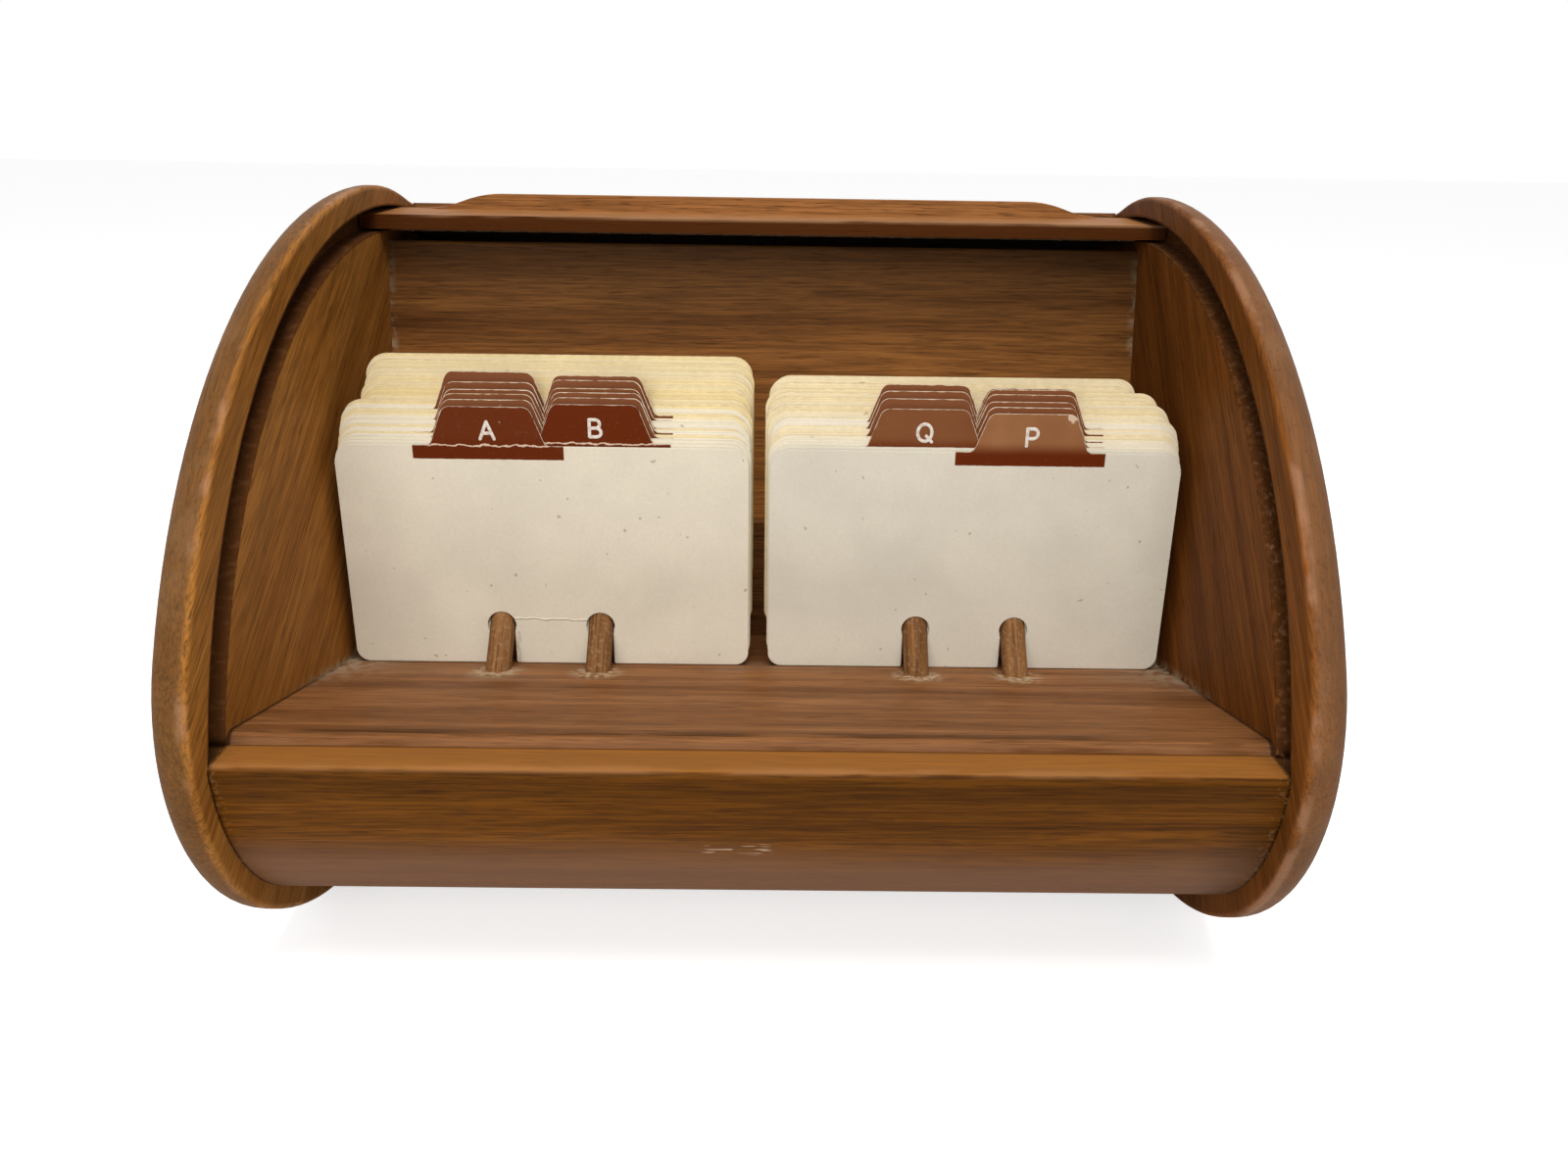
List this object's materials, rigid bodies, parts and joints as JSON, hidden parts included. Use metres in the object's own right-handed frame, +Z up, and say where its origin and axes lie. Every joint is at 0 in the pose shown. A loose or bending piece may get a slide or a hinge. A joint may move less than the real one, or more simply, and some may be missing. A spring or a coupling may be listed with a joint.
{
  "type": "roll-top card file",
  "caption": "Wooden desktop card file with a slatted roll-top curtain, a tilted floor and punched index cards on dowel pegs.",
  "frame": {"origin": "on the table under the middle of the case's bounding box", "axes": "+X to the user's right, -Y towards the user (the open front), +Z up"},
  "size_m": [0.2334, 0.289, 0.1658],
  "materials": {
    "case_wood": "satin",
    "peg_wood": "satin",
    "canvas": "matte",
    "brads": "satin",
    "index_cards": "matte",
    "blank_cards": "matte"
  },
  "bodies": {
    "case": {"left_side": "case_wood", "right_side": "case_wood", "floor_panel": "case_wood", "inner_back": "case_wood", "back_batten": "case_wood", "front_rail": "case_wood", "rear_rail": "case_wood", "bottom_panel": "case_wood", "joint_dowels": "peg_wood", "bottom_brads": "brads", "peg_left_outer": "peg_wood", "peg_left_inner": "peg_wood", "peg_right_inner": "peg_wood", "peg_right_outer": "peg_wood", "outer_back_01": "case_wood", "outer_back_02": "case_wood", "outer_back_03": "case_wood", "outer_back_04": "case_wood", "outer_back_05": "case_wood", "outer_back_06": "case_wood", "outer_back_07": "case_wood", "outer_back_08": "case_wood", "outer_back_09": "case_wood"},
    "tambour": {"lead_slat": "case_wood", "tambour_slat_01": "case_wood", "tambour_slat_02": "case_wood", "tambour_slat_03": "case_wood", "tambour_slat_04": "case_wood", "tambour_slat_05": "case_wood", "tambour_slat_06": "case_wood", "tambour_slat_07": "case_wood", "tambour_slat_08": "case_wood", "tambour_slat_09": "case_wood", "tambour_slat_10": "case_wood", "tambour_slat_11": "case_wood", "tambour_slat_12": "case_wood", "tambour_slat_13": "case_wood", "tambour_slat_14": "case_wood", "tambour_slat_15": "case_wood", "tambour_slat_16": "case_wood", "tambour_slat_17": "case_wood", "tambour_slat_18": "case_wood", "tambour_slat_19": "case_wood", "tambour_slat_20": "case_wood", "tambour_canvas": "canvas"},
    "card_a": {"index_card_a": "index_cards"},
    "card_b": {"index_card_b": "index_cards"},
    "left_cards": {"index_cards_left": "index_cards", "blank_cards_left": "blank_cards"},
    "card_p": {"index_card_p": "index_cards"},
    "card_q": {"index_card_q": "index_cards"},
    "right_cards": {"index_cards_right": "index_cards", "blank_cards_right": "blank_cards"}
  },
  "joints": [
    {"name": "tambour_roll", "type": "hinge", "parent": "case", "child": "tambour", "pos_m": [0, -0.00288, 0.015], "axis": [1, 0, 0], "range_deg": [0, 67.85]},
    {"name": "card_a_lift", "type": "slide", "parent": "case", "child": "card_a", "axis": [0, 0.0958, 0.9954], "range_m": [0, 0.018]},
    {"name": "card_b_lift", "type": "slide", "parent": "case", "child": "card_b", "axis": [0, 0.0958, 0.9954], "range_m": [0, 0.018]},
    {"name": "left_cards_lift", "type": "slide", "parent": "case", "child": "left_cards", "axis": [0, 0.0958, 0.9954], "range_m": [0, 0.018]},
    {"name": "card_p_lift", "type": "slide", "parent": "case", "child": "card_p", "axis": [0, 0.0958, 0.9954], "range_m": [0, 0.018]},
    {"name": "card_q_lift", "type": "slide", "parent": "case", "child": "card_q", "axis": [0, 0.0958, 0.9954], "range_m": [0, 0.018]},
    {"name": "right_cards_lift", "type": "slide", "parent": "case", "child": "right_cards", "axis": [0, 0.0958, 0.9954], "range_m": [0, 0.018]}
  ]
}
